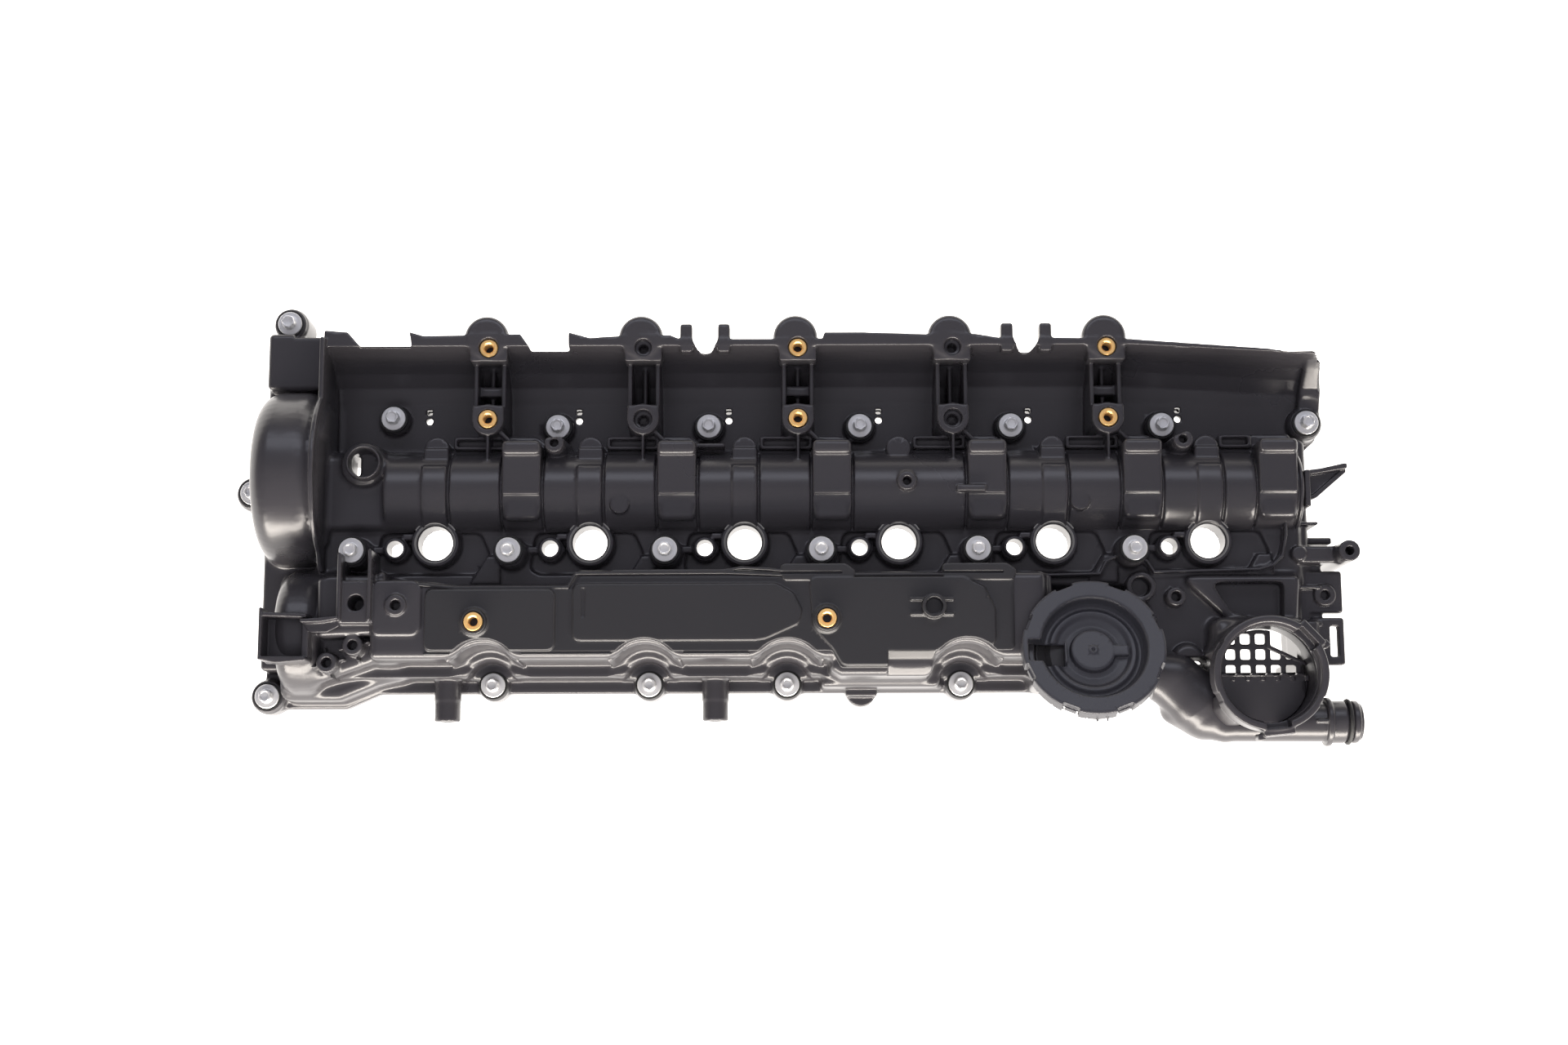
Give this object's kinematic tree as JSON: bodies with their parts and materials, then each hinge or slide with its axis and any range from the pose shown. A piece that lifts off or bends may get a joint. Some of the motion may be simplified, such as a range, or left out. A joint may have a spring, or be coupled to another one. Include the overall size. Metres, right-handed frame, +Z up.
{
  "type": "cylinder head cover",
  "caption": "Moulded plastic cylinder head cover with oil separator lid, diaphragm pressure valve under a snap cap, filler neck, breather pipe, captive bolts and threaded inserts.",
  "frame": {"origin": "on the level of the captive bolts' tips, under the middle of the whole cover", "axes": "+X along the engine from the timing end to the filler neck, +Y towards the intake side, +Z up from the cylinder head"},
  "size_m": [0.6637, 0.2683, 0.11],
  "materials": {
    "black_nylon": "satin glass-filled nylon with a fine grain",
    "lid_nylon": "satin, slightly smoother than the cover",
    "cap_nylon": "satin",
    "zinc_steel": "dull zinc plate",
    "brass": "turned and knurled",
    "seal_rubber": "moulded",
    "diaphragm_rubber": "smooth moulded",
    "valve_plastic": "natural acetal",
    "ball_plastic": "polished nylon ball",
    "spring_steel": "drawn spring wire"
  },
  "bodies": {
    "cover": {"cover_shell": "black_nylon", "separator_lid": "lid_nylon", "separator_baffle": "black_nylon", "pcv_cap": "cap_nylon", "pcv_diaphragm": "diaphragm_rubber", "pcv_spring": "spring_steel", "filler_neck": "black_nylon", "filler_screen": "black_nylon", "breather_pipe": "black_nylon", "breather_o_ring": "seal_rubber", "front_cable_bracket": "black_nylon", "rear_bracket": "black_nylon", "perimeter_gasket": "seal_rubber", "injector_seal_1": "seal_rubber", "injector_seal_2": "seal_rubber", "injector_seal_3": "seal_rubber", "injector_seal_4": "seal_rubber", "injector_seal_5": "seal_rubber", "injector_seal_6": "seal_rubber", "bolt_01": "zinc_steel", "bolt_02": "zinc_steel", "bolt_03": "zinc_steel", "bolt_04": "zinc_steel", "bolt_05": "zinc_steel", "bolt_06": "zinc_steel", "bolt_07": "zinc_steel", "bolt_08": "zinc_steel", "bolt_09": "zinc_steel", "bolt_10": "zinc_steel", "bolt_11": "zinc_steel", "bolt_12": "zinc_steel", "bolt_13": "zinc_steel", "bolt_14": "zinc_steel", "bolt_15": "zinc_steel", "bolt_16": "zinc_steel", "bolt_17": "zinc_steel", "bolt_18": "zinc_steel", "bolt_19": "zinc_steel", "bolt_20": "zinc_steel", "insert_1": "brass", "insert_2": "brass", "insert_3": "brass", "insert_4": "brass", "insert_5": "brass", "insert_6": "brass", "insert_7": "brass", "insert_8": "brass"},
    "valve_plunger": {"pcv_plunger": "valve_plastic"},
    "drain_ball": {"drain_ball": "ball_plastic"}
  },
  "joints": [
    {"name": "pcv_plunger_slide", "type": "slide", "parent": "cover", "child": "valve_plunger", "axis": [0, -0.2924, -0.9563], "range_m": [0, 0.003], "stiffness_N_per_m": 150, "springref_m": -0.001, "deforming": ["pcv_spring", "pcv_diaphragm"]},
    {"name": "drain_ball_slide", "type": "slide", "parent": "cover", "child": "drain_ball", "axis": [0, 0, 1], "range_m": [0, 0.003]}
  ]
}
